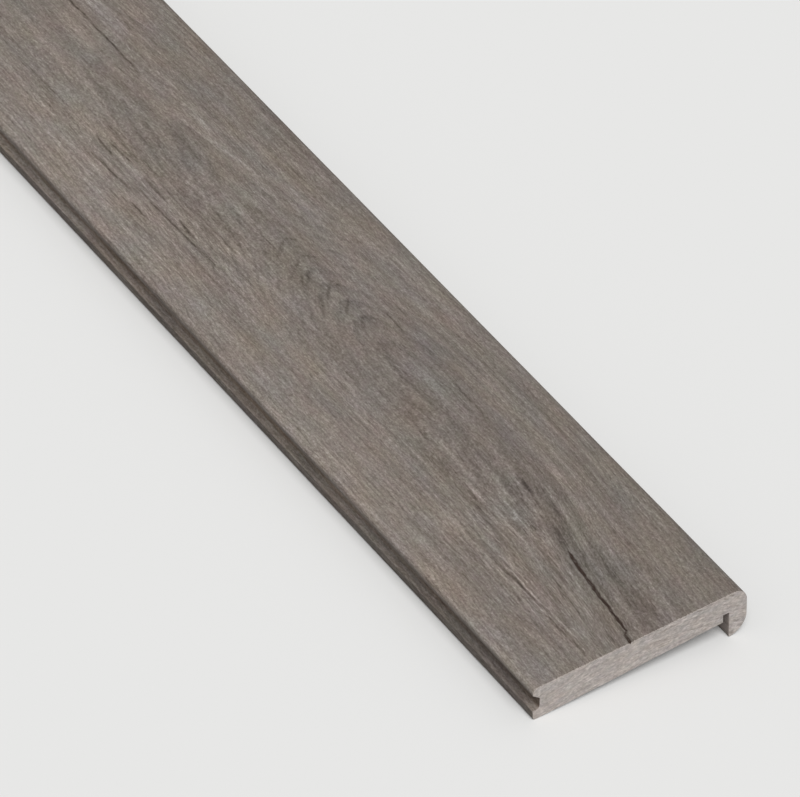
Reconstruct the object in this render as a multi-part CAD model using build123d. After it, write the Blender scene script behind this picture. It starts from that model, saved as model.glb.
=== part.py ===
from build123d import *
import math
import os

# Flush stair nosing: one straight length of milled hardwood.
# X runs along the length, the rounded nose faces -Y and the grooved back edge faces +Y.
# The piece lies unheld, on its drop lip and on its back edge, so its top slopes down to the back.
# The origin is the middle of the footprint, on the surface that it lies on.

# Overall sizes in millimetres
LENGTH = 1981.2
WIDTH = 114.3              # back edge to the front of the nose
THICKNESS = 19.05          # at the back edge, as thick as the flooring that it meets
NOSE_HEIGHT = 26.8         # top face to the bottom of the drop lip

# Board between the nose and the back edge
UNDERSIDE_RISE = 3.3       # the board is this much thinner beside the slot than at its back edge
BACK_BOTTOM_EASE = 1.5     # radius
BACK_TOP_EASE = 3.0        # radius

# Nose and drop lip
NOSE_TOP_RADIUS = 7.8
LIP_THICKNESS = 9.6
LIP_ROUND_HEIGHT = 10.4    # height of the round that ends the lip
LIP_INNER_EASE = 0.8       # radius

# Relief slot, up into the inner corner behind the lip, so that the stair's edge seats tight
SLOT_WIDTH = 3.2
SLOT_DEPTH = 4.5           # above the underside beside it

# Groove for the tongue of the flooring, along the back edge
GROOVE_FLOOR = 5.4         # height of its floor over the bottom of the back edge
GROOVE_DEPTH = 3.6
GROOVE_WALL = 6.6          # height of its upright inner wall
GROOVE_MOUTH = 9.6         # height of its opening in the back edge
GROOVE_FILLET = 2.4        # radius between floor and inner wall


def ease(section, corner, radius):
    """Round the corner of the section that is nearest to a point."""
    nearest = section.vertices().sort_by_distance(corner)[0]
    return fillet(nearest, radius)


def nosing_section():
    """Milled section, with x from the back edge towards the nose and y up from the underside."""
    lip_wall = WIDTH - LIP_THICKNESS
    lip_bottom = THICKNESS - NOSE_HEIGHT
    slot_wall = lip_wall - SLOT_WIDTH
    slot_roof = UNDERSIDE_RISE + SLOT_DEPTH
    back_bottom = (0, 0)
    lip_corner = (lip_wall, lip_bottom)
    round_start = (WIDTH, lip_bottom + LIP_ROUND_HEIGHT)
    nose_top = (WIDTH, THICKNESS)
    back_top = (0, THICKNESS)
    groove_corner = (GROOVE_DEPTH, GROOVE_FLOOR)

    with BuildSketch() as profile:
        with BuildLine():
            Polyline(
                round_start,
                nose_top,
                back_top,
                (0, GROOVE_FLOOR + GROOVE_MOUTH),
                (GROOVE_DEPTH, GROOVE_FLOOR + GROOVE_WALL),
                groove_corner,
                (0, GROOVE_FLOOR),
                back_bottom,
                (slot_wall, UNDERSIDE_RISE),
                (slot_wall, slot_roof),
                (lip_wall, slot_roof),
                lip_corner,
            )
            TangentArc(round_start, lip_corner, tangent=(0, -1))
        make_face()
        ease(profile, nose_top, NOSE_TOP_RADIUS)
        ease(profile, back_top, BACK_TOP_EASE)
        ease(profile, groove_corner, GROOVE_FILLET)
        ease(profile, back_bottom, BACK_BOTTOM_EASE)
        ease(profile, lip_corner, LIP_INNER_EASE)
    return profile.sketch, back_bottom, lip_corner


def contact_round(section, corner):
    """Centre and radius of the eased corner that is nearest to a point."""
    arc = section.edges().filter_by(GeomType.CIRCLE).sort_by_distance(corner)[0]
    return arc.arc_center, arc.radius


def rest_tilt(section, back_bottom, lip_corner):
    """Degrees that level the line touching the eased back corner and the eased lip corner."""
    back_centre, back_radius = contact_round(section, back_bottom)
    lip_centre, lip_radius = contact_round(section, lip_corner)
    span = lip_centre - back_centre
    slope = math.atan2(span.Y, span.X) - math.asin((lip_radius - back_radius) / span.length)
    return -math.degrees(slope)


def stair_nosing():
    """The whole length, lying on its lip and its back edge."""
    section, back_bottom, lip_corner = nosing_section()
    lying = Rot(Z=rest_tilt(section, back_bottom, lip_corner)) * section
    box = lying.bounding_box()
    grounded = Pos(-box.center().X, -box.min.Y) * lying
    end_plane = Plane(origin=(0, 0, 0), x_dir=(0, -1, 0), z_dir=(-1, 0, 0))
    return extrude(end_plane * grounded, amount=LENGTH / 2, both=True)


os.makedirs("parts", exist_ok=True)
export_step(stair_nosing(), "parts/stair_nosing.step")
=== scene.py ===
import math

import bpy
import numpy as np
from mathutils import Matrix, Vector


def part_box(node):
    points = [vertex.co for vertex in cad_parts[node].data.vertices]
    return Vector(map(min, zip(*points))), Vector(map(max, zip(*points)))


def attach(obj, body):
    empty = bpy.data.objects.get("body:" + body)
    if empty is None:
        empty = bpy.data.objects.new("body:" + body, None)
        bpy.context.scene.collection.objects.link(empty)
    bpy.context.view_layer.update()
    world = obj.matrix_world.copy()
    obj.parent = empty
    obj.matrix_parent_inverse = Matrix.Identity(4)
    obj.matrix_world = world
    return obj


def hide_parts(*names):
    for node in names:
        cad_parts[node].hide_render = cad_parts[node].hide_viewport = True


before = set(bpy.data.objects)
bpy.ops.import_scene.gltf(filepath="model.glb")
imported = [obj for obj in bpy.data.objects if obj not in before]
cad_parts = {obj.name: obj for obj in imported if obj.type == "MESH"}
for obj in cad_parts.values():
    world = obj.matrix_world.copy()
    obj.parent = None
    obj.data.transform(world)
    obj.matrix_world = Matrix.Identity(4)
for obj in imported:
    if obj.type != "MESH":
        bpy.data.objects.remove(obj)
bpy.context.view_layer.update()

# The nosing is one milled length of hardwood with a grey-brown finish and pale sawn ends.
# Board coordinates are millimetres: x from the end near the camera, u from the back edge to the
# nose, v up from the underside at the back edge. The row frame is in metres.

MM = 0.001
NODE = "stair_nosing"

# Milled section, as the frame was cut
WIDTH = 114.3
THICKNESS = 19.05
NOSE_HEIGHT = 26.8
UNDERSIDE_RISE = 3.3
BACK_BOTTOM_EASE = 1.5
BACK_TOP_EASE = 3.0
NOSE_TOP_RADIUS = 7.8
LIP_THICKNESS = 9.6
LIP_ROUND_HEIGHT = 10.4
LIP_INNER_EASE = 0.8
SLOT_WIDTH = 3.2
SLOT_DEPTH = 4.5
GROOVE_FLOOR = 5.4
GROOVE_DEPTH = 3.6
GROOVE_WALL = 6.6
GROOVE_MOUTH = 9.6
GROOVE_FILLET = 2.4
ARRIS = 0.25               # softness of every long edge that is otherwise sharp
END_ARRIS = 0.12           # and of the edges round the sawn ends

# How far apart the mesh's points are round the section
CORNER_CHORD = 0.45
LIP_ARC_POINTS = 30
TOP_SPACING = 0.66
CRACK_SPACING = 0.25
CRACK_BAND = (50.5, 63.5)  # the part of the width that the crack runs in
EDGE_SPACING = 1.6         # on the nose and the back face
UNDER_SPACING = 4.0
CLOSE = 0.1                # a place within this of a face counts as on it

# Brushed grain, under the CAD's face: length and width of a cell, height, seed
RELIEF = [(42, 2.4, 0.035, 41), (17, 1.1, 0.03, 42)]

# Main crack in the top: where it runs, and half its width there
CRACK = [
    (-1.0, 51.8, 0.8),
    (5.6, 52.3, 0.75),
    (7.4, 54.5, 0.8),
    (14.0, 55.2, 0.8),
    (20.0, 55.7, 1.2),
    (26.0, 56.5, 0.9),
    (31.0, 56.6, 1.0),
    (38.0, 57.8, 1.2),
    (46.0, 58.5, 1.0),
    (54.0, 59.6, 1.25),
    (59.0, 60.6, 1.0),
    (63.0, 61.4, 0.0),
]
CRACK_DEPTH = 0.7
CRACK_WANDER = 0.3         # how far noise moves it sideways
CRACK_RAGGED = 0.5         # share of its width that noise adds or takes
CRACK_HALO = 1.9           # reach of the darker wood beside it
CRACK_HALO_TONE = -0.08
CRACK_HALO_END = 82.0      # the darker wood ends here
CRACK_HALO_FADE = 20.0

# Middle of the figure: where its heart line runs, and how many millimetres of growth rings have
# been cut through there. Rings close into arches where that number climbs.
HEART_LINE = [
    (-20.0, 50.0), (0.0, 51.8), (60.0, 60.5), (110.0, 68.5), (160.0, 70.0), (240.0, 67.0),
    (311.0, 67.0), (400.0, 68.0), (620.0, 60.0), (900.0, 66.0), (1250.0, 52.0), (1600.0, 58.0),
    (2000.0, 50.0),
]
RINGS_CUT = [
    (-20.0, 1.2), (150.0, 1.2), (222.0, 3.2), (240.0, 7.0), (253.0, 10.9), (267.0, 14.8),
    (279.0, 18.7), (291.0, 22.6), (304.0, 26.5), (340.0, 31.0), (400.0, 38.2), (430.0, 42.0),
    (520.0, 50.0), (760.0, 24.0), (960.0, 14.0), (1120.0, 40.0), (1320.0, 58.0), (1600.0, 30.0),
    (2000.0, 12.0),
]
RINGS_ASIDE = (0.27, 0.0125)   # more are cut through to each side: by the distance, by its square
ARCH_TIP = 2.5             # how blunt the arches' tips are
RING_WIDTH = 3.9
RING_WANDER = [(40, 15, 1.3, 21), (13, 5, 0.7, 22)]    # cell length and width, height, seed
HEART_MIDDLE = 62.0        # the streaks are bent towards the heart line from here
BEND_REACH = (18.0, 28.0)  # how far the bend reaches to the back and to the nose
GRAIN_WANDER = [(70, 12, 0.9, 23)]                     # cell length and width, height, seed

# Where the tree's heart lay, well under the board, as the nearly flat rings on its end show
TREE_HEART = (0, 51.8, -150)

# Where the arches stand out most: x, u, reach along, reach across, strength
ARCHES = [
    (266, 62, 34, 11, 0.85),
    (378, 62, 30, 11, 0.3),
    (1080, 55, 70, 12, 0.8),
    (1250, 50, 60, 12, 0.7),
]

# The grain opens round the mark that ends the crack
EYE = (98.0, 67.0)
EYE_REACH = (46.0, 24.0)
EYE_OPENING = 3.0
EYE_HALF_WIDTH = 8.0

# Tones that follow the board's form, some painted light and shade, each a share of the middle tone
HEART_TONE = -0.04         # darker along the heart line
HEART_REACH = 17.0
BACK_TONE = 0.045          # paler towards the back edge
BACK_REACH = 13.0
FAR_TONE = 0.02            # paler away from the near end
FAR_START = 400.0
CLOUDS = [(60, 16, 0.02, 31)]   # soft clouds: cell length and width, height, seed
NOSE_PAINTED_SHADE = -0.04          # painted shade towards and over the nose
NOSE_START = 92.0
NOSE_FADE = 14.0
BACK_ROUND_PAINTED_LIGHT = 0.07          # painted light on the back top edge's round, which faces the light
BACK_ROUND_LIGHT_MIDDLE = 1.0
BACK_ROUND_LIGHT_REACH = 1.5
BACK_FACE_PAINTED_SHADE = -0.08     # painted shade on the back face, under the groove, which faces away from the light
GROOVE_FLOOR_PAINTED_LIGHT = [(40.0, -0.03), (380.0, 0.14)]     # painted light on the groove's floor, growing along it, and a little painted shade near the near end
GROOVE_FLOOR_BAND = 1.0    # height of the groove's fillet that takes the floor's painted light
GROOVE_WALL_TONE = 0.05    # paler on the groove's wall and roof
GROOVE_END_PAINTED_SHADE = -0.20    # with painted shade on them near the sawn end, where the groove lies in shadow
GROOVE_END_REACH = 75.0
GROOVE_WARMTH = 3.0        # and warmer along all of them

# Broad light and dark places on the top: x, u, reach along, reach across, share of the tone
BLOTCHES = [
    (24, 66, 34, 9, -0.075),
    (66, 67, 34, 7, -0.06),
    (77, 64, 9, 3, -0.07),
    (105, 68.8, 4.0, 1.2, -0.16),
    (106, 69, 11, 3.5, -0.06),
    (118, 65, 9, 3.5, 0.07),
    (84, 55, 8, 2.4, 0.05),
    (103, 50, 18, 6, -0.045),
    (140, 64, 16, 6, 0.018),
    (215, 64, 16, 5, -0.02),
    (236, 70, 14, 6, -0.03),
    (250, 63, 34, 8, -0.03),
    (381, 65, 14, 5, -0.03),
    (60, 24, 40, 3, -0.03),
    (90, 30, 55, 2.4, 0.025),
    (128, 22, 42, 8, 0.036),
    (205, 36, 30, 7, -0.022),
    (262, 8, 26, 6, 0.022),
    (302, 25, 50, 10, 0.038),
    (425, 31, 30, 15, 0.035),
    (375, 36, 60, 7, 0.028),
    (288, 51, 28, 6, -0.042),
    (395, 50, 32, 7, -0.022),
    (60, 78, 60, 7, -0.04),
    (215, 78, 18, 6, -0.02),
    (410, 86, 36, 11, -0.035),
    (100, 94, 62, 10, -0.045),
    (300, 92, 26, 9, -0.03),
    (190, 88, 60, 12, -0.03),
    (350, 76, 40, 10, 0.03),
]

# Cooler, greyer places, and warmer ones below zero: x, u, reach along, reach across, amount
COOL_PLACES = [
    (112, 35, 36, 9, -1.2),
    (60, 22, 24, 8, -0.8),
    (350, 50, 50, 8, -1.0),
    (60, 94, 60, 9, -0.8),
    (218, 50, 22, 7, 1.4),
    (89, 55, 10, 4, 1.0),
    (117, 66, 10, 5, 1.0),
    (185, 78, 45, 15, 0.8),
    (255, 66, 40, 12, 0.5),
    (332, 74, 22, 8, 0.8),
]

# Where the long grain shows more, or less, than elsewhere: the same five numbers
LIVELY_PLACES = [
    (72, 49, 74, 27, 0.55),
    (10, 92, 60, 16, -0.15),
    (150, 25, 50, 20, -0.1),
    (345, 34, 75, 20, 0.35),
    (325, 74, 20, 10, 0.25),
]

# Thin checks and streaks that stand out on the top: start x, u, end x, u, width, share of the tone
STREAKS = [
    (3, 31.1, 36, 30.7, 1.1, -0.22),
    (38, 32.2, 73, 31.2, 1.1, -0.24),
    (17, 33.5, 72, 33.0, 0.9, 0.22),
    (17, 35.9, 22, 35.8, 0.8, 0.22),
    (101, 68.3, 112, 69.7, 1.5, -0.2),
    (110, 69.6, 121, 72.2, 1.6, -0.09),
    (106, 63.2, 113, 62.6, 0.9, -0.12),
    (61, 61.2, 79, 65.2, 2.6, -0.14),
    (74, 69.8, 92, 71.6, 1.2, -0.12),
    (86, 66.6, 100, 69.4, 2.8, -0.08),
    (34, 68.0, 78, 75.0, 1.4, -0.07),
    (231, 64.5, 240, 69.6, 1.8, -0.17),
    (233, 74.0, 240, 69.6, 2.0, -0.09),
    (243, 62.5, 253, 69.8, 1.6, -0.21),
    (251, 55.5, 257, 58.5, 1.2, -0.15),
    (256, 61.0, 267, 69.3, 2.0, -0.17),
    (262, 71.6, 267, 69.3, 1.6, -0.11),
    (268, 55.6, 281, 62.6, 1.2, -0.20),
    (272, 61.0, 279, 65.0, 1.8, -0.15),
    (283, 62.0, 288.5, 66.8, 1.6, -0.20),
    (284, 73.0, 288.6, 69.0, 1.5, -0.17),
    (297, 61.8, 303, 67.6, 1.8, -0.16),
    (298, 72.0, 303, 68.4, 1.8, -0.14),
    (296, 55.4, 303, 55.7, 1.4, -0.16),
    (297, 60.2, 312, 60.7, 0.8, -0.18),
    (303, 31.9, 358, 29.8, 0.9, -0.28),
    (326, 33.4, 341, 34.5, 1.5, -0.38),
    (349, 22.5, 364, 22.2, 0.9, -0.30),
    (353, 36.2, 375, 36.7, 1.1, -0.36),
    (371, 26.4, 405, 25.6, 0.9, -0.30),
    (383, 36.9, 405, 36.4, 1.0, -0.34),
    (395, 32.8, 412, 33.5, 1.1, -0.36),
    (366, 62.6, 384, 66.0, 2.0, -0.10),
    (380, 64.6, 397, 68.6, 2.2, -0.11),
    (436, 33.3, 471, 33.2, 0.8, -0.26),
    (438, 73.9, 520, 74.2, 0.9, -0.34),
    (340, 82.6, 402, 72.0, 1.7, 0.15),
    (381, 80.0, 424, 78.4, 1.5, 0.13),
    (151, 78.8, 182, 78.8, 1.0, -0.24),
    (219, 78.8, 238, 79.0, 0.9, -0.20),
]


def interpolate(knots, at):
    """Smooth curve through a short list of (place, value) knots."""
    places, values = np.array(knots, float).T
    index = np.clip(np.searchsorted(places, at) - 1, 0, len(places) - 2)
    share = np.clip((at - places[index]) / (places[index + 1] - places[index]), 0, 1)
    slopes = np.gradient(values, places)
    gap = places[index + 1] - places[index]
    start, end = values[index], values[index + 1]
    rise_in, rise_out = slopes[index] * gap, slopes[index + 1] * gap
    cubic, square = share ** 3, share ** 2
    return (start * (2 * cubic - 3 * square + 1) + rise_in * (cubic - 2 * square + share)
            + end * (3 * square - 2 * cubic) + rise_out * (cubic - square))


def smooth_noise(x, y, seed):
    """Value noise from -1 to 1 with one cell to a unit, the same each run."""
    table = np.random.default_rng(seed).uniform(-1, 1, (256, 256))
    column, row = np.floor(x).astype(int), np.floor(y).astype(int)
    fx, fy = x - column, y - row
    fx, fy = fx * fx * (3 - 2 * fx), fy * fy * (3 - 2 * fy)
    corner = [[table[(column + i) % 256, (row + j) % 256] for j in (0, 1)] for i in (0, 1)]
    low = corner[0][0] * (1 - fx) + corner[1][0] * fx
    high = corner[0][1] * (1 - fx) + corner[1][1] * fx
    return low * (1 - fy) + high * fy


def waves(x, across, layers):
    """Sum of noises, each with its cell's length and width, its height and its seed."""
    return sum(height * smooth_noise(x / length, across / width, seed)
               for length, width, height, seed in layers)


def ridge(off, reach):
    """A soft ridge of height 1, by the distance from its middle."""
    return np.exp(-(off / reach) ** 2)


def soft_spot(x, u, place, reach):
    """A round hump of height 1 at a place."""
    return np.exp(-((x - place[0]) / reach[0]) ** 2 - ((u - place[1]) / reach[1]) ** 2)


def spots(x, u, places):
    """Sum of soft spots, each with its own height."""
    return sum(amount * soft_spot(x, u, (place, across), (along_reach, across_reach))
               for place, across, along_reach, across_reach, amount in places)


# The section

def corner_round(before, corner, after, radius):
    """Points of the arc that rounds a corner, from the side of before to the side of after."""
    before, corner, after = (np.array(p, float) for p in (before, corner, after))
    back = (before - corner) / np.linalg.norm(before - corner)
    ahead = (after - corner) / np.linalg.norm(after - corner)
    half = math.acos(np.clip(back @ ahead, -1, 1)) / 2
    reach = radius / math.tan(half)
    middle = (back + ahead) / np.linalg.norm(back + ahead)
    centre = corner + middle * radius / math.sin(half)
    start, end = corner + back * reach - centre, corner + ahead * reach - centre
    turn = math.pi - 2 * half
    steps = max(3, math.ceil(turn * radius / CORNER_CHORD))
    sign = np.sign(start[0] * end[1] - start[1] * end[0])
    points = []
    for k in range(steps + 1):
        angle = sign * turn * k / steps
        cosine, sine = math.cos(angle), math.sin(angle)
        points.append(centre + np.array([[cosine, -sine], [sine, cosine]]) @ start)
    return points


def corner_rounds(corners, before, after):
    """Points of a run of corners, each with its radius, between the places beside the run."""
    places = [before] + [corner for corner, radius in corners] + [after]
    points = []
    for k, (corner, radius) in enumerate(corners):
        points += corner_round(places[k], corner, places[k + 2], radius)
    return points


def lip_round(lip_bottom):
    """The round that ends the lip, from the front face to just before the eased inner corner."""
    radius = (LIP_THICKNESS ** 2 + LIP_ROUND_HEIGHT ** 2) / (2 * LIP_THICKNESS)
    centre = (WIDTH - radius, lip_bottom + LIP_ROUND_HEIGHT)
    full = math.atan2(LIP_ROUND_HEIGHT, radius - LIP_THICKNESS)
    last = full - LIP_INNER_EASE * 1.1 / radius
    return [(centre[0] + radius * math.cos(a), centre[1] - radius * math.sin(a))
            for a in np.linspace(0, last, LIP_ARC_POINTS)]


def run_spacing(point):
    """How far apart the outline's points may be near a place on it."""
    u, v = point
    if v < THICKNESS - 0.01:
        on_edge = u > WIDTH - LIP_THICKNESS - CLOSE or u < GROOVE_DEPTH + CLOSE
        return EDGE_SPACING if on_edge else UNDER_SPACING
    return CRACK_SPACING if CRACK_BAND[0] < u < CRACK_BAND[1] else TOP_SPACING


def subdivided(points):
    """The closed outline with its straight runs cut up."""
    made = []
    for here, after in zip(points, points[1:] + points[:1]):
        here, after = np.array(here, float), np.array(after, float)
        length = np.linalg.norm(after - here)
        made.append(here)
        travelled = 0.0
        while length > 0:
            step = run_spacing(here + (after - here) * travelled / length)
            travelled += step
            if travelled > length - step * 0.5:
                break
            made.append(here + (after - here) * travelled / length)
    return np.array(made)


def section_outline():
    """Closed outline of the section, from the back top edge over the nose and round underneath."""
    lip_wall = WIDTH - LIP_THICKNESS
    lip_bottom = THICKNESS - NOSE_HEIGHT
    slot_wall = lip_wall - SLOT_WIDTH
    slot_roof = UNDERSIDE_RISE + SLOT_DEPTH
    lip_arc = lip_round(lip_bottom)
    before_lip = [
        ((0, THICKNESS), BACK_TOP_EASE),
        ((WIDTH, THICKNESS), NOSE_TOP_RADIUS),
    ]
    after_lip = [
        ((lip_wall, lip_bottom), LIP_INNER_EASE),
        ((lip_wall, slot_roof), ARRIS),
        ((slot_wall, slot_roof), ARRIS),
        ((slot_wall, UNDERSIDE_RISE), ARRIS),
        ((0, 0), BACK_BOTTOM_EASE),
        ((0, GROOVE_FLOOR), ARRIS),
        ((GROOVE_DEPTH, GROOVE_FLOOR), GROOVE_FILLET),
        ((GROOVE_DEPTH, GROOVE_FLOOR + GROOVE_WALL), ARRIS),
        ((0, GROOVE_FLOOR + GROOVE_MOUTH), ARRIS),
    ]
    first, last = before_lip[0][0], after_lip[-1][0]
    points = corner_rounds(before_lip, last, lip_arc[0]) + lip_arc
    points += corner_rounds(after_lip, lip_arc[-1], first)
    return subdivided([tuple(p) for p in points])


def outward(points):
    """Unit normals of a closed outline that runs clockwise, as the section's does."""
    along = np.roll(points, -1, 0) - np.roll(points, 1, 0)
    along /= np.linalg.norm(along, axis=1, keepdims=True)
    return np.stack([-along[:, 1], along[:, 0]], 1)


def lying_matrix(outline):
    """Board coordinates in millimetres, with u along -Y, to the row frame in metres."""
    cad = bpy.data.objects[NODE].data
    top = max(cad.polygons, key=lambda face: face.area * max(face.normal.z, 0))
    tilt = math.atan2(top.normal.y, top.normal.z)
    turned = Matrix.Rotation(-tilt, 4, "X")
    lying = np.array([turned @ Vector((0, -u, v)) for u, v in outline])
    low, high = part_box(NODE)
    length = (high[0] - low[0]) / MM
    middle = (lying[:, 1].min() + lying[:, 1].max()) / 2
    shift = Matrix.Translation((-length / 2, -middle, -lying[:, 2].min()))
    return Matrix.Scale(MM, 4) @ shift @ turned, length


# What each place of the surface carries

def crack_at(x, u):
    """How far into the main crack a place on the top is, from 0 outside to 1 in its middle."""
    places, middles, halves = np.array(CRACK, float).T
    sideways = CRACK_WANDER * smooth_noise(x / 2.4, np.full_like(x, 3.5), 11)
    middle = np.interp(x, places, middles) + sideways
    ragged = 1 + CRACK_RAGGED * smooth_noise(x / 2.2, np.full_like(x, 8.5), 12)
    half = np.interp(x, places, halves) * ragged
    inside = 1 - np.abs(u - middle) / np.maximum(half, 1e-3)
    return np.where(half > 0.02, np.clip(inside, 0, 1), 0)


def figure_at(x, u, v, over):
    """Growth-ring distance and bent across-grain place, both in millimetres."""
    heart = interpolate(HEART_LINE, x)
    off = u - heart
    side = np.sqrt((off + waves(x, over, RING_WANDER)) ** 2 + ARCH_TIP)
    aside = RINGS_ASIDE[0] * side, RINGS_ASIDE[1] * side ** 2
    rings = interpolate(RINGS_CUT, x) + aside[0] + aside[1] + (THICKNESS - v)
    bend = (heart - HEART_MIDDLE) * ridge(off, np.where(off < 0, *BEND_REACH))
    opening = EYE_OPENING * np.tanh(off / EYE_HALF_WIDTH) * soft_spot(x, u, EYE, EYE_REACH)
    across = over - bend - opening + waves(x, over, GRAIN_WANDER)
    return rings, across


def in_groove(u, v):
    """Which places lie inside the back groove."""
    across = (u > 2 * CLOSE) & (u < GROOVE_DEPTH + CLOSE)
    return across & (v > GROOVE_FLOOR - CLOSE) & (v < GROOVE_FLOOR + GROOVE_MOUTH)


def cool_at(x, u, v):
    """How much cooler the finish is than its middle colour; on the groove's wall it is warmer."""
    on_wall = in_groove(u, v) * (v > GROOVE_FLOOR + GROOVE_FLOOR_BAND)
    return spots(x, u, COOL_PLACES) - GROOVE_WARMTH * on_wall


def tone_and_painted_light_at(x, u, v):
    """Broad light and dark of the finish, with painted light and shade on the back round, back
    face, groove and nose, as a share of its middle tone.
    """
    tone = HEART_TONE * ridge(u - interpolate(HEART_LINE, x), HEART_REACH)
    tone = tone + BACK_TONE * ridge(u, BACK_REACH)
    # Painted light on the back top edge's round, which faces the light
    on_back_round = v > THICKNESS - BACK_TOP_EASE
    tone = tone + BACK_ROUND_PAINTED_LIGHT * ridge(u - BACK_ROUND_LIGHT_MIDDLE, BACK_ROUND_LIGHT_REACH) * on_back_round
    # Painted shade on the back face under the groove, which faces away from the light
    tone = tone + BACK_FACE_PAINTED_SHADE * (u < 2 * CLOSE) * (v < GROOVE_FLOOR)
    # Painted light on the groove's floor, with a little painted shade near the near end
    floor_painted_light = np.interp(x, *np.array(GROOVE_FLOOR_PAINTED_LIGHT).T)
    # The groove's wall and roof are paler, with painted shade on them near the sawn end
    wall_tone_and_painted_shade = GROOVE_WALL_TONE + GROOVE_END_PAINTED_SHADE * ridge(x, GROOVE_END_REACH)
    on_floor = v < GROOVE_FLOOR + GROOVE_FLOOR_BAND
    tone = tone + np.where(on_floor, floor_painted_light, wall_tone_and_painted_shade) * in_groove(u, v)
    tone = tone + FAR_TONE * np.clip(x / FAR_START, 0, 1) + waves(x, u, CLOUDS)
    # Painted shade towards and over the nose
    tone = tone + NOSE_PAINTED_SHADE * np.clip((u - NOSE_START) / NOSE_FADE, 0, 1)
    halo = ridge(u - np.interp(x, *np.array(CRACK, float).T[:2]), CRACK_HALO)
    halo = halo * np.clip((CRACK_HALO_END - x) / CRACK_HALO_FADE, 0, 1)
    return tone + CRACK_HALO_TONE * halo + spots(x, u, BLOTCHES)


def relief_at(x, over):
    """Height of the brushed grain over the CAD's face, in millimetres and never above it."""
    return sum(height * (smooth_noise(x / length, over / width, seed) - 1)
               for length, width, height, seed in RELIEF)


def is_bare(outline, normals):
    """Which places have no finish: the underside, the slot and the lip's inner wall."""
    u, v = outline.T
    lip_wall = WIDTH - LIP_THICKNESS
    in_slot = (u > lip_wall - SLOT_WIDTH - CLOSE) & (u < lip_wall + 0.3)
    in_slot = in_slot & (v < UNDERSIDE_RISE + SLOT_DEPTH + CLOSE)
    under = (normals[:, 1] < -0.6) & (u < lip_wall) & (v < GROOVE_FLOOR)
    return in_slot | under


# The mesh

FINISHED, SAWN, BARE = 0, 1, 2   # its material slots


def stations(length):
    """Places along the board where its section is repeated, closest together near the camera."""
    runs = [(1.9, 72, 1.15), (75, 440, 3.3), (446, length - 12, 15.5)]   # start, end, step
    places = [0.0, END_ARRIS, 0.8]
    for start, end, step in runs:
        places += list(np.arange(start, end, step))
    return np.array(places + [length - 3, length - END_ARRIS, length])


def tube_faces(rows, count):
    """Quads that join the repeated sections, and the faces that close the two ends."""
    quads = []
    for i in range(rows - 1):
        for j in range(count):
            k = (j + 1) % count
            here, ahead = i * count, (i + 1) * count
            quads.append((here + j, here + k, ahead + k, ahead + j))
    last = (rows - 1) * count
    caps = [tuple(reversed(range(count))), tuple(last + j for j in range(count))]
    return quads, caps


def nosing_mesh(outline, board, length):
    """The whole piece as one closed mesh, with the grain's coordinates on its vertices."""
    rows = stations(length)
    normals = outward(outline)
    runs = np.linalg.norm(np.diff(outline, axis=0), axis=1)
    over = np.concatenate([[0], np.cumsum(runs)])
    x, u = np.meshgrid(rows, outline[:, 0], indexing="ij")
    v = np.broadcast_to(outline[:, 1], x.shape)
    over = np.broadcast_to(over, x.shape)
    crack = crack_at(x, u) * ((normals[:, 1] > 0.98) & (v > THICKNESS / 2))
    rise = relief_at(x, over) * (v > THICKNESS / 2) - CRACK_DEPTH * crack
    at_end = (rows == rows[0]) | (rows == rows[-1])
    rise = rise - END_ARRIS * at_end[:, None]
    places = np.stack([
        x,
        -(u + normals[:, 0] * rise),
        v + normals[:, 1] * rise,
        np.ones_like(x),
    ], -1).reshape(-1, 4)
    verts = (places @ np.array(board).T)[:, :3]
    quads, caps = tube_faces(len(rows), len(outline))
    mesh = bpy.data.meshes.new(NODE + "_wood")
    mesh.from_pydata(verts.tolist(), [], quads + caps)
    rings, across = figure_at(x, u, v, over)
    write_vector(mesh, "grain", np.stack([x, across, rings], -1))
    write_vector(mesh, "place", np.stack([x, u, v], -1))
    # The tone holds the finish's own light and dark, plus painted light and shade on the back
    # round, back face, groove and nose
    write_number(mesh, "tone", tone_and_painted_light_at(x, u, v))
    write_number(mesh, "cool", cool_at(x, u, v))
    write_number(mesh, "arches", spots(x, u, ARCHES))
    write_number(mesh, "lively", spots(x, u, LIVELY_PLACES))
    write_number(mesh, "crack", crack)
    round_section = np.where(is_bare(outline, normals), BARE, FINISHED).tolist()
    slots = round_section * (len(rows) - 1) + [SAWN] * len(caps)
    mesh.polygons.foreach_set("material_index", slots)
    mesh.set_sharp_from_angle(angle=math.radians(50))
    mesh.polygons.foreach_set("use_smooth", [True] * len(quads) + [False] * len(caps))
    mesh.validate()
    return mesh


def write_vector(mesh, name, values):
    made = mesh.attributes.new(name, "FLOAT_VECTOR", "POINT")
    made.data.foreach_set("vector", values.astype(np.float32).ravel())


def write_number(mesh, name, values):
    made = mesh.attributes.new(name, "FLOAT", "POINT")
    made.data.foreach_set("value", values.astype(np.float32).ravel())


# Node trees

def plug(tree, socket, value):
    """Links a socket to an input, or sets the input to a value."""
    if isinstance(value, bpy.types.NodeSocket):
        tree.links.new(value, socket)
    else:
        socket.default_value = value


def add(tree, kind, settings=None, **inputs):
    """A node with its settings and named inputs."""
    made = tree.nodes.new(kind)
    for name, value in (settings or {}).items():
        setattr(made, name, value)
    for name, value in inputs.items():
        plug(tree, made.inputs[name.replace("_", " ")], value)
    return made


def add_numbered(tree, kind, settings, *values):
    """A node with its settings and its inputs in order."""
    made = tree.nodes.new(kind)
    for name, value in settings.items():
        setattr(made, name, value)
    for socket, value in zip(made.inputs, values):
        plug(tree, socket, value)
    return made


def maths(tree, operation, *values):
    return add_numbered(tree, "ShaderNodeMath", {"operation": operation}, *values).outputs[0]


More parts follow.
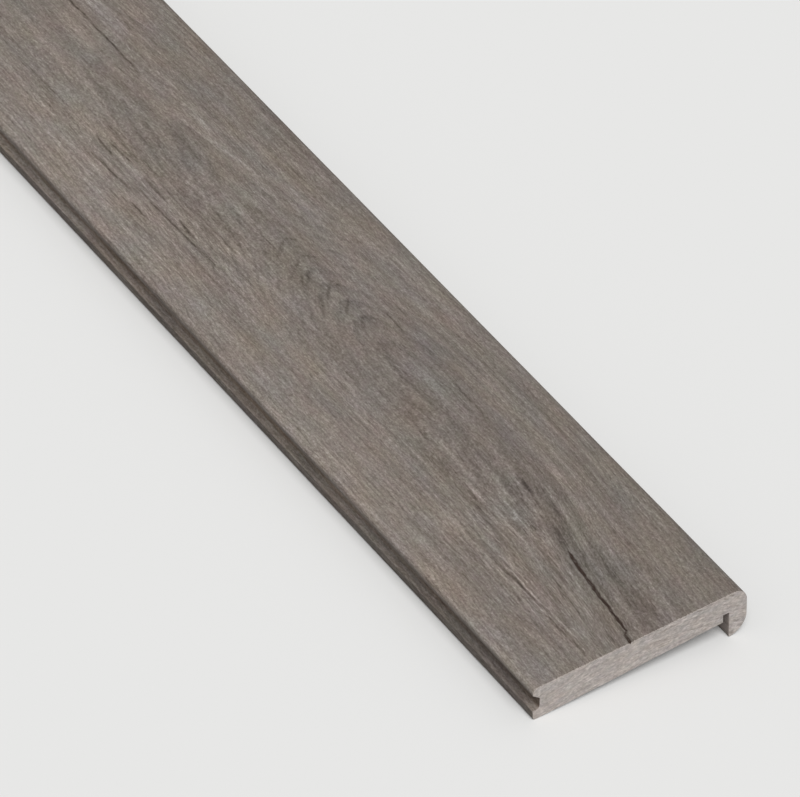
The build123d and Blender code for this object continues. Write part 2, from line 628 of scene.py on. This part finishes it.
def vector_maths(tree, operation, *values):
    return add_numbered(tree, "ShaderNodeVectorMath", {"operation": operation}, *values)


def attribute(tree, name):
    return add(tree, "ShaderNodeAttribute", {"attribute_name": name})


def stretched_noise(tree, vector, length, width, seed, detail=1.0, depth=None):
    """Noise with cells of a length along the grain and a width across it, about -0.5 to 0.5."""
    scale = (1 / length, 1 / width, 1 / depth if depth else 0.0)
    shift = (seed * 7.3, seed * 3.1, seed * 5.7)
    placed = vector_maths(tree, "MULTIPLY_ADD", vector, scale, shift)
    noise = add(tree, "ShaderNodeTexNoise", {"noise_dimensions": "3D"}, Vector=placed.outputs[0],
                Scale=1.0, Detail=detail, Roughness=0.55)
    return maths(tree, "SUBTRACT", noise.outputs["Fac"], 0.5)


def smooth_step(tree, value, low, high):
    """0 at low, 1 at high, eased between them; low may be the larger."""
    return add(tree, "ShaderNodeMapRange", {"interpolation_type": "SMOOTHSTEP"}, Value=value,
               From_Min=low, From_Max=high).outputs[0]


def total(tree, terms):
    """Sum of (socket, weight) pairs."""
    made = 0.0
    for socket, weight in terms:
        made = maths(tree, "MULTIPLY_ADD", socket, weight, made)
    return made


def srgb(red, green, blue):
    """Linear colour of an sRGB colour in 0 to 255."""
    return tuple(((c / 255 + 0.055) / 1.055) ** 2.4 for c in (red, green, blue)) + (1.0,)


def blank_material(name):
    made = bpy.data.materials.new(name)
    made.use_nodes = True
    made.node_tree.nodes.clear()
    return made, made.node_tree


def mixed_colour(tree, factor, first, second):
    made = add(tree, "ShaderNodeMix", {"data_type": "RGBA"})
    plug(tree, made.inputs[0], factor)
    plug(tree, made.inputs[6], first)
    plug(tree, made.inputs[7], second)
    return made.outputs[2]


# Materials

FINISH = srgb(123.8, 115.0, 107.6)
# Painted shade in the crack, mixed in by how far into the crack a place is
CRACK_PAINTED_SHADE = srgb(56, 43, 36)
BARE_WOOD = srgb(173, 163, 157)
SAWN_WOOD = srgb(194, 185, 179)
TONE_GAIN = 2.3            # a tone of t multiplies the light by the exponent of this times t


def toned(tree, base, brightness, warm, green):
    """A base colour made lighter by a tone, and warmer or greener by a little."""
    gain = maths(tree, "EXPONENT", maths(tree, "MULTIPLY", brightness, TONE_GAIN))
    tint = add(tree, "ShaderNodeCombineXYZ", X=maths(tree, "ADD", 1.0, warm),
               Y=maths(tree, "ADD", 1.0, green), Z=maths(tree, "SUBTRACT", 1.0, warm))
    tinted = vector_maths(tree, "MULTIPLY", base, tint.outputs[0]).outputs[0]
    scaled = add(tree, "ShaderNodeVectorMath", {"operation": "SCALE"}, Vector=tinted, Scale=gain)
    return scaled.outputs[0]


def wood_surface(tree, colour, height, strength, depth, roughness, specular):
    """The shader and output that every wood here ends in; the bump's depth is in millimetres."""
    bump = add(tree, "ShaderNodeBump", Strength=strength, Distance=depth * MM, Height=height)
    shader = add(tree, "ShaderNodeBsdfPrincipled", Base_Color=colour, Normal=bump.outputs[0],
                 Roughness=roughness)
    shader.inputs["Specular IOR Level"].default_value = specular
    add(tree, "ShaderNodeOutputMaterial", Surface=shader.outputs[0])


def streak_tone(tree, x, across, wobble, breaks):
    """The named streaks, each a soft broken line that fades at its ends, as one tone."""
    terms = []
    for x0, u0, x1, u1, width, amount in STREAKS:
        slope = (u1 - u0) / (x1 - x0)
        middle = maths(tree, "MULTIPLY_ADD", x, slope, u0 - slope * x0)
        off = maths(tree, "SUBTRACT", across, middle)
        off = maths(tree, "ABSOLUTE", maths(tree, "MULTIPLY_ADD", wobble, width * 1.6, off))
        line = smooth_step(tree, off, width, 0.0)
        fade = min(8.0, (x1 - x0) * 0.4)
        head = smooth_step(tree, x, x0 - fade * 0.3, x0 + fade * 0.7)
        tail = smooth_step(tree, x, x1 + fade * 0.3, x1 - fade * 0.7)
        whole = maths(tree, "MULTIPLY", line, maths(tree, "MULTIPLY", head, tail))
        terms.append((whole, amount))
    return maths(tree, "MULTIPLY", total(tree, terms), breaks)


def ring_figure(tree, grain, rings, place, arches):
    """Tone of the growth rings, strongest in the arches, and how strong the arches are."""
    shifted = total(tree, [
        (stretched_noise(tree, grain, 14, 3.0, 7, detail=2.0), 2.2),
        (stretched_noise(tree, grain, 3.5, 1.2, 28), 1.6),
        (rings, 1.0),
    ])
    ring = maths(tree, "FRACT", maths(tree, "DIVIDE", shifted, RING_WIDTH))
    late = smooth_step(tree, ring, 0.3, 0.92)
    early = smooth_step(tree, ring, 1.0, 0.92)
    line = maths(tree, "SUBTRACT", maths(tree, "MULTIPLY", late, early), 0.34)
    presence = smooth_step(tree, stretched_noise(tree, grain, 60, 16, 8), -0.3, 0.15)
    patches = smooth_step(tree, stretched_noise(tree, place, 7, 4, 26), -0.14, 0.14)
    broken = maths(tree, "MULTIPLY_ADD", patches, 0.8, 0.35)
    strength = maths(tree, "MULTIPLY", arches, broken)
    return maths(tree, "MULTIPLY", line, maths(tree, "MAXIMUM", presence, strength)), strength


def finished_wood():
    """The grey-brown finish: brushed grain, arches, checks, the crack with painted shade in it,
    cool and warm patches, and the painted light and shade that the tone carries.
    """
    material, tree = blank_material("finished_hardwood")
    grain = attribute(tree, "grain").outputs["Vector"]
    place = attribute(tree, "place").outputs["Vector"]
    tone = attribute(tree, "tone").outputs["Fac"]
    cool = attribute(tree, "cool").outputs["Fac"]
    crack = attribute(tree, "crack").outputs["Fac"]
    arches = attribute(tree, "arches").outputs["Fac"]
    lively = attribute(tree, "lively").outputs["Fac"]
    parts = add(tree, "ShaderNodeSeparateXYZ", Vector=grain)
    board = add(tree, "ShaderNodeSeparateXYZ", Vector=place)

    # Long streaks of the grain, plainer in the arches
    wide = stretched_noise(tree, grain, 110, 6.5, 1, detail=2.0)
    medium = stretched_noise(tree, grain, 34, 2.4, 2)
    narrow = stretched_noise(tree, grain, 11, 1.1, 3)
    pore = smooth_step(tree, stretched_noise(tree, grain, 6.0, 0.45, 9, detail=0.0), 0.17, 0.34)
    long_grain = total(tree, [(wide, 0.21), (medium, 0.31), (narrow, 0.30), (pore, -0.15)])
    calm = smooth_step(tree, stretched_noise(tree, grain, 38, 13, 25), -0.2, 0.2)
    uneven = total(tree, [(lively, 1.75), (calm, 0.45), (arches, -0.3)])
    long_contrast = maths(tree, "ADD", 0.70, uneven)

    # Short dashes and specks
    fine = stretched_noise(tree, grain, 3.0, 0.5, 4, detail=0.0)
    speck = stretched_noise(tree, grain, 0.8, 0.5, 5, detail=0.0)
    fleck = smooth_step(tree, stretched_noise(tree, grain, 2.4, 0.5, 15, detail=0.0), 0.16, 0.36)
    dash = stretched_noise(tree, grain, 2.6, 0.9, 27)
    short_grain = total(tree, [(fine, 0.17), (speck, 0.31), (fleck, 0.11), (dash, 0.34)])
    short_contrast = maths(tree, "MULTIPLY_ADD", lively, 0.15, 1.0)
    short_texture = maths(tree, "MULTIPLY", short_grain, short_contrast)
    texture = maths(tree, "MULTIPLY_ADD", long_grain, long_contrast, short_texture)

    # Growth rings, with fine feathers along them in the arches
    rings = parts.outputs["Z"]
    ring_tone, arch_strength = ring_figure(tree, grain, rings, place, arches)
    ring_weight = maths(tree, "MULTIPLY_ADD", arch_strength, -0.11, -0.08)
    along_rings = add(tree, "ShaderNodeCombineXYZ", X=parts.outputs["X"], Y=rings, Z=0.0)
    feather = stretched_noise(tree, along_rings.outputs[0], 10, 0.55, 24)

    # Named streaks, broken up and a little crooked
    wobble = stretched_noise(tree, grain, 9, 60, 6)
    breaks = maths(tree, "MULTIPLY_ADD", stretched_noise(tree, grain, 3.0, 0.9, 16), 2.8, 1.0)
    streaks = streak_tone(tree, board.outputs["X"], board.outputs["Y"], wobble, breaks)

    brightness = total(tree, [
        (tone, 1.0),
        (streaks, 1.0),
        (texture, 1.0),
        (maths(tree, "MULTIPLY", ring_tone, ring_weight), 1.0),
        (maths(tree, "MULTIPLY", feather, arches), 0.22),
    ])
    broad_tint = stretched_noise(tree, grain, 30, 15, 10)
    warm = total(tree, [(broad_tint, 0.16), (cool, -0.022), (streaks, -0.15), (texture, -0.16)])
    broad_green = stretched_noise(tree, grain, 24, 10, 18)
    narrow_green = stretched_noise(tree, grain, 5, 2.6, 19)
    green = total(tree, [(broad_green, 0.10), (narrow_green, 0.095)])
    tinted = toned(tree, FINISH[:3], brightness, warm, green)

    # The painted shade in the crack comes in lumps, and the finish is frayed off along the sawn
    # edge
    lumps = maths(tree, "MULTIPLY_ADD", stretched_noise(tree, place, 2.6, 0.9, 29), 1.5, 0.95)
    crack_painted_shade = maths(tree, "MULTIPLY", smooth_step(tree, crack, 0.0, 0.6), lumps)
    with_crack_shade = mixed_colour(tree, maths(tree, "MINIMUM", crack_painted_shade, 1.0), tinted, CRACK_PAINTED_SHADE)
    fray = stretched_noise(tree, grain, 1.5, 0.7, 20, detail=2.0)
    from_edge = maths(tree, "MULTIPLY_ADD", fray, 1.6, board.outputs["X"])
    colour = mixed_colour(tree, smooth_step(tree, from_edge, 0.32, 0.02), with_crack_shade, BARE_WOOD)

    height = total(tree, [
        (medium, 0.5), (narrow, 0.8), (fine, 0.6), (speck, 0.3), (pore, -0.5), (ring_tone, -0.2),
    ])
    roughness = maths(tree, "MULTIPLY_ADD", brightness, -0.3, 0.62)
    wood_surface(tree, colour, height, 0.35, 0.12, roughness, specular=0.3)
    return material


def bare_underside():
    """Wood without a finish, planed along the grain."""
    material, tree = blank_material("bare_underside")
    grain = attribute(tree, "grain").outputs["Vector"]
    broad = stretched_noise(tree, grain, 120, 7, 31, detail=2.0)
    narrow = stretched_noise(tree, grain, 22, 1.1, 32, detail=2.0)
    fine = stretched_noise(tree, grain, 5, 0.45, 33)
    pore = smooth_step(tree, stretched_noise(tree, grain, 8, 0.45, 34, detail=0.0), 0.16, 0.34)
    brightness = total(tree, [(broad, 0.18), (narrow, 0.28), (fine, 0.22), (pore, -0.18)])
    warm = maths(tree, "MULTIPLY_ADD", stretched_noise(tree, grain, 60, 12, 35), 0.12, 0.01)
    colour = toned(tree, BARE_WOOD[:3], brightness, warm, 0.0)
    height = total(tree, [(narrow, 0.6), (fine, 0.5), (pore, -0.6)])
    roughness = maths(tree, "MULTIPLY_ADD", narrow, 0.3, 0.75)
    wood_surface(tree, colour, height, 0.3, 0.12, roughness, specular=0.2)
    return material


def sawn_end():
    """The pale sawn ends: growth rings lying nearly flat, mottling, pores and brown threads."""
    material, tree = blank_material("sawn_end")
    place = attribute(tree, "place").outputs["Vector"]
    across = add(tree, "ShaderNodeSeparateXYZ", Vector=place).outputs["Y"]
    flat = vector_maths(tree, "MULTIPLY", place, (0, 1, 1)).outputs[0]
    rings = vector_maths(tree, "DISTANCE", flat, TREE_HEART).outputs["Value"]
    along_rings = add(tree, "ShaderNodeCombineXYZ", X=across, Y=rings, Z=0.0).outputs[0]

    layers = stretched_noise(tree, along_rings, 18, 1.2, 11, detail=2.0)
    thread_noise = stretched_noise(tree, along_rings, 7, 0.8, 12)
    towards_nose = smooth_step(tree, across, 30.0, 90.0)
    threads = maths(tree, "MULTIPLY", smooth_step(tree, thread_noise, 0.1, 0.3),
                    maths(tree, "MULTIPLY_ADD", towards_nose, 0.8, 0.4))

    # On the flat end, a cell's width runs across the board and its depth runs up it
    mottle = stretched_noise(tree, flat, 1.0, 3.6, 13, detail=2.0, depth=1.9)
    grit = stretched_noise(tree, flat, 1.0, 1.5, 14, depth=0.8)
    pits = smooth_step(tree, stretched_noise(tree, flat, 1.0, 1.2, 21, depth=0.7), 0.16, 0.3)
    brightness = total(tree, [
        (layers, 0.25), (mottle, 0.37), (grit, 0.33), (threads, -0.20), (pits, -0.12),
    ])
    broad_tint = stretched_noise(tree, flat, 1.0, 9.0, 22, depth=4.0)
    warm = total(tree, [(broad_tint, 0.09), (threads, 0.06)])
    green = maths(tree, "MULTIPLY", stretched_noise(tree, flat, 1.0, 6.0, 23, depth=3.0), 0.08)
    colour = toned(tree, SAWN_WOOD[:3], brightness, warm, green)
    height = total(tree, [(layers, 0.4), (grit, 0.6), (pits, -0.6)])
    roughness = maths(tree, "MULTIPLY_ADD", mottle, 0.3, 0.8)
    wood_surface(tree, colour, height, 0.3, 0.15, roughness, specular=0.2)
    return material


# Stage, light and camera

FLOOR_SHOWN = 0.80         # how pale the floor looks
FLOOR_BOUNCE = 0.30        # how much light it throws back on the object
FLOOR_HALF = 90.0          # metres
SKY_FILL = 0.34
SUN_TOWARDS = (-0.46, 0.13, 0.78)
SUN_LEVEL = 0.66           # share of the light that falls on a level surface
SUN_ANGLE = 44.0


def stage_floor():
    """A plain pale floor that shows the object's shadow."""
    corners = [(-1, -1), (1, -1), (1, 1), (-1, 1)]
    mesh = bpy.data.meshes.new("floor")
    mesh.from_pydata([(x * FLOOR_HALF, y * FLOOR_HALF, 0) for x, y in corners], [], [(0, 1, 2, 3)])
    floor = bpy.data.objects.new("floor", mesh)
    bpy.context.collection.objects.link(floor)
    material, tree = blank_material("plain_floor")
    camera_ray = add(tree, "ShaderNodeLightPath").outputs["Is Camera Ray"]
    shown = add(tree, "ShaderNodeBsdfDiffuse",
                Color=(FLOOR_SHOWN, FLOOR_SHOWN, FLOOR_SHOWN * 0.99, 1))
    bounce = add(tree, "ShaderNodeBsdfDiffuse",
                 Color=(FLOOR_BOUNCE, FLOOR_BOUNCE, FLOOR_BOUNCE, 1))
    mixed = add_numbered(tree, "ShaderNodeMixShader", {}, camera_ray, bounce.outputs[0],
                         shown.outputs[0])
    add(tree, "ShaderNodeOutputMaterial", Surface=mixed.outputs[0])
    mesh.materials.append(material)


def studio_light():
    """Soft light from above and from the near end, with an even fill from all round."""
    lamp = bpy.data.lights.new("key", "SUN")
    towards = Vector(SUN_TOWARDS).normalized()
    lamp.energy = math.pi * SUN_LEVEL / towards.z
    lamp.angle = math.radians(SUN_ANGLE)
    key = bpy.data.objects.new("key", lamp)
    key.rotation_mode = "QUATERNION"
    key.rotation_quaternion = towards.to_track_quat("Z", "Y")
    bpy.context.collection.objects.link(key)

    world = bpy.data.worlds.new("studio")
    bpy.context.scene.world = world
    world.use_nodes = True
    tree = world.node_tree
    tree.nodes.clear()
    ray = add(tree, "ShaderNodeLightPath").outputs
    seen = maths(tree, "MAXIMUM", ray["Is Camera Ray"], ray["Is Transmission Ray"])
    fill = add(tree, "ShaderNodeBackground", Color=(1, 1, 1, 1), Strength=SKY_FILL)
    backdrop = add(tree, "ShaderNodeBackground", Color=(1, 1, 1, 1), Strength=FLOOR_SHOWN)
    mixed = add_numbered(tree, "ShaderNodeMixShader", {}, seen, fill.outputs[0],
                         backdrop.outputs[0])
    add(tree, "ShaderNodeOutputWorld", Surface=mixed.outputs[0])


# Where the photograph was taken from, about the board's own axes
AIM = (184.55, 53.18, THICKNESS)   # place on the top at the middle of the picture
AZIMUTH = 236.76
ELEVATION = 43.93
ROLL = 0.5
DISTANCE = 3677.6
LENS = 367.07
SENSOR = 36.0
CLIP = (0.1, 400)          # metres


def photo_camera(board):
    """A long lens at the photograph's viewing angle."""
    azimuth, elevation, roll = (math.radians(a) for a in (AZIMUTH, ELEVATION, ROLL))
    level = math.cos(elevation)
    back = Vector((math.sin(azimuth) * level, -math.cos(azimuth) * level, math.sin(elevation)))
    right = Vector((math.cos(azimuth), math.sin(azimuth), 0))
    up = back.cross(right)
    rolled_right = right * math.cos(roll) - up * math.sin(roll)
    rolled_up = right * math.sin(roll) + up * math.cos(roll)
    place = Vector((AIM[0], -AIM[1], AIM[2])) + back * DISTANCE
    lying = board.to_3x3().normalized()
    turn = lying @ Matrix((rolled_right, rolled_up, back)).transposed()
    data = bpy.data.cameras.new("photo_camera")
    data.sensor_width = SENSOR
    data.lens = LENS
    data.clip_start, data.clip_end = CLIP
    camera = bpy.data.objects.new("photo_camera", data)
    camera.matrix_world = Matrix.Translation(board @ place) @ turn.to_4x4()
    bpy.context.collection.objects.link(camera)
    bpy.context.scene.camera = camera


outline = section_outline()
board, length = lying_matrix(outline)
nosing = bpy.data.objects.new("nosing_wood", nosing_mesh(outline, board, length))
bpy.context.collection.objects.link(nosing)
for material in (finished_wood(), sawn_end(), bare_underside()):
    nosing.data.materials.append(material)
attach(nosing, "root")
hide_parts(NODE)

stage_floor()
studio_light()
photo_camera(board)
bpy.context.scene.view_settings.view_transform = "Standard"
